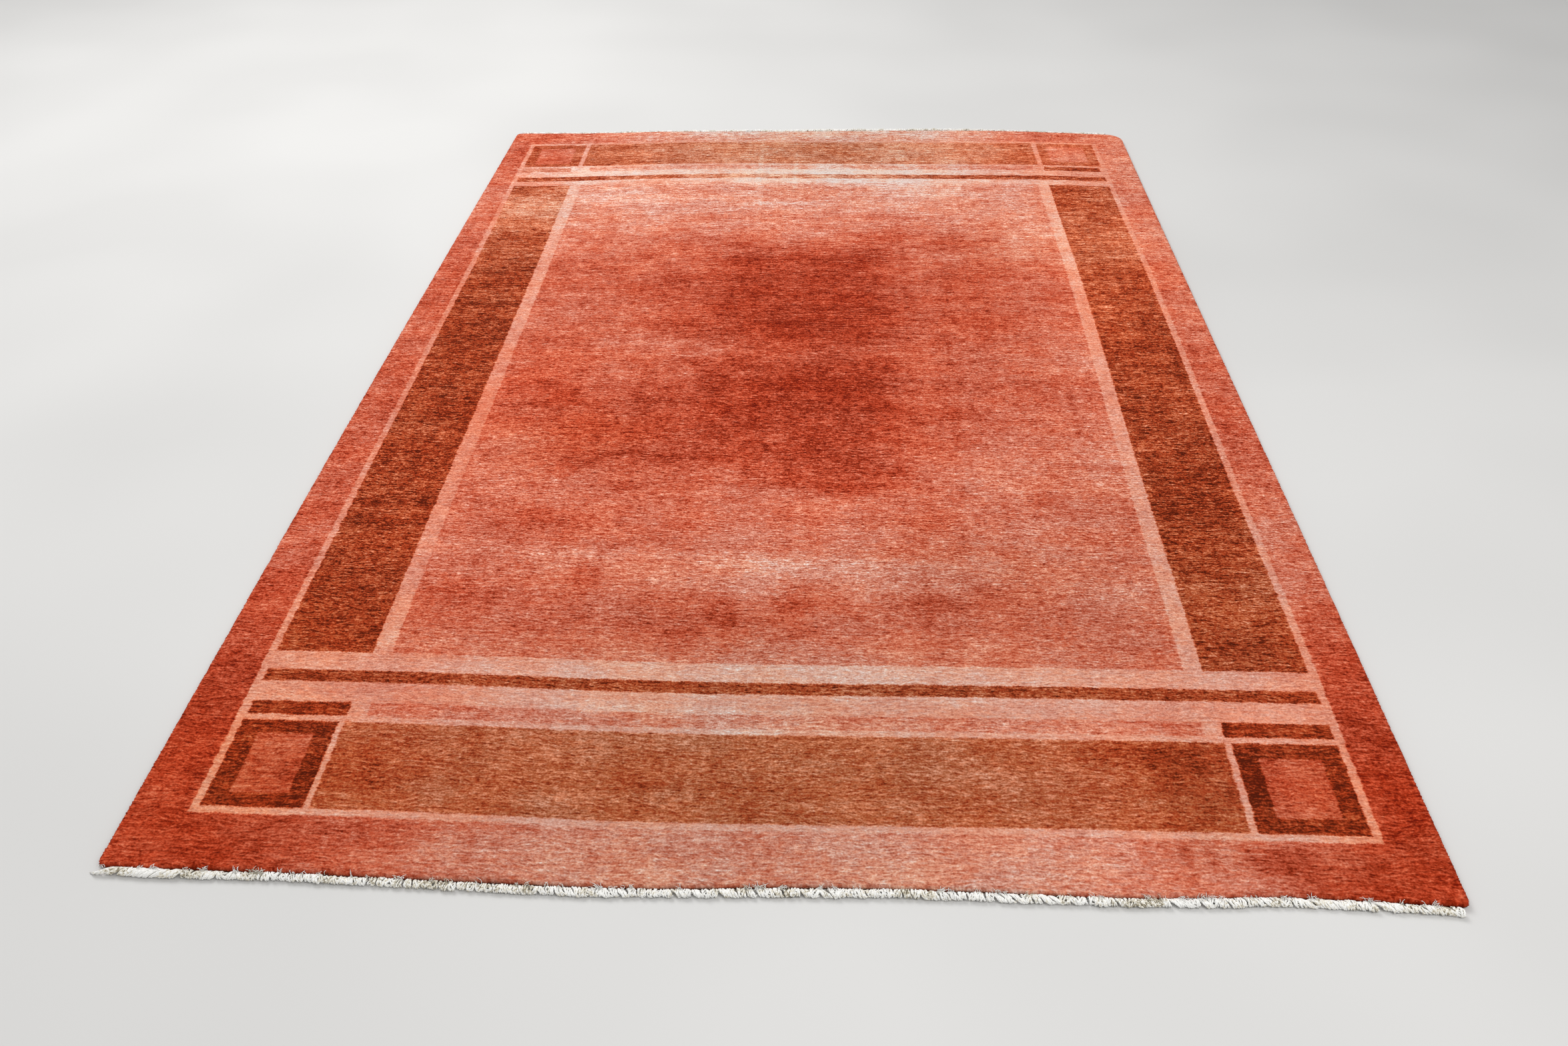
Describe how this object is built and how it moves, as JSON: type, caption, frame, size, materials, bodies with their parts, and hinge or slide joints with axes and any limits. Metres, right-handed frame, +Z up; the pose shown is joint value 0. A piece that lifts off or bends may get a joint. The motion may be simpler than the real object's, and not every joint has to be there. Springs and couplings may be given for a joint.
{
  "type": "pile rug",
  "caption": "Flat hand-knotted wool pile rug with a panelled border, uneven edges and plaited cotton warp ends along both short sides.",
  "frame": {"origin": "on the floor under the middle of the whole rug's box, fringes included", "axes": "+X across the rug, +Y along it from the near short end to the far one, +Z up out of the pile"},
  "size_m": [2.0164, 3.0854, 0.012],
  "materials": {
    "wool_pile": "matte",
    "cotton_warps": "matte"
  },
  "bodies": {
    "root": {"rug": "wool_pile", "fringe_near": "cotton_warps", "fringe_far": "cotton_warps"}
  },
  "joints": []
}
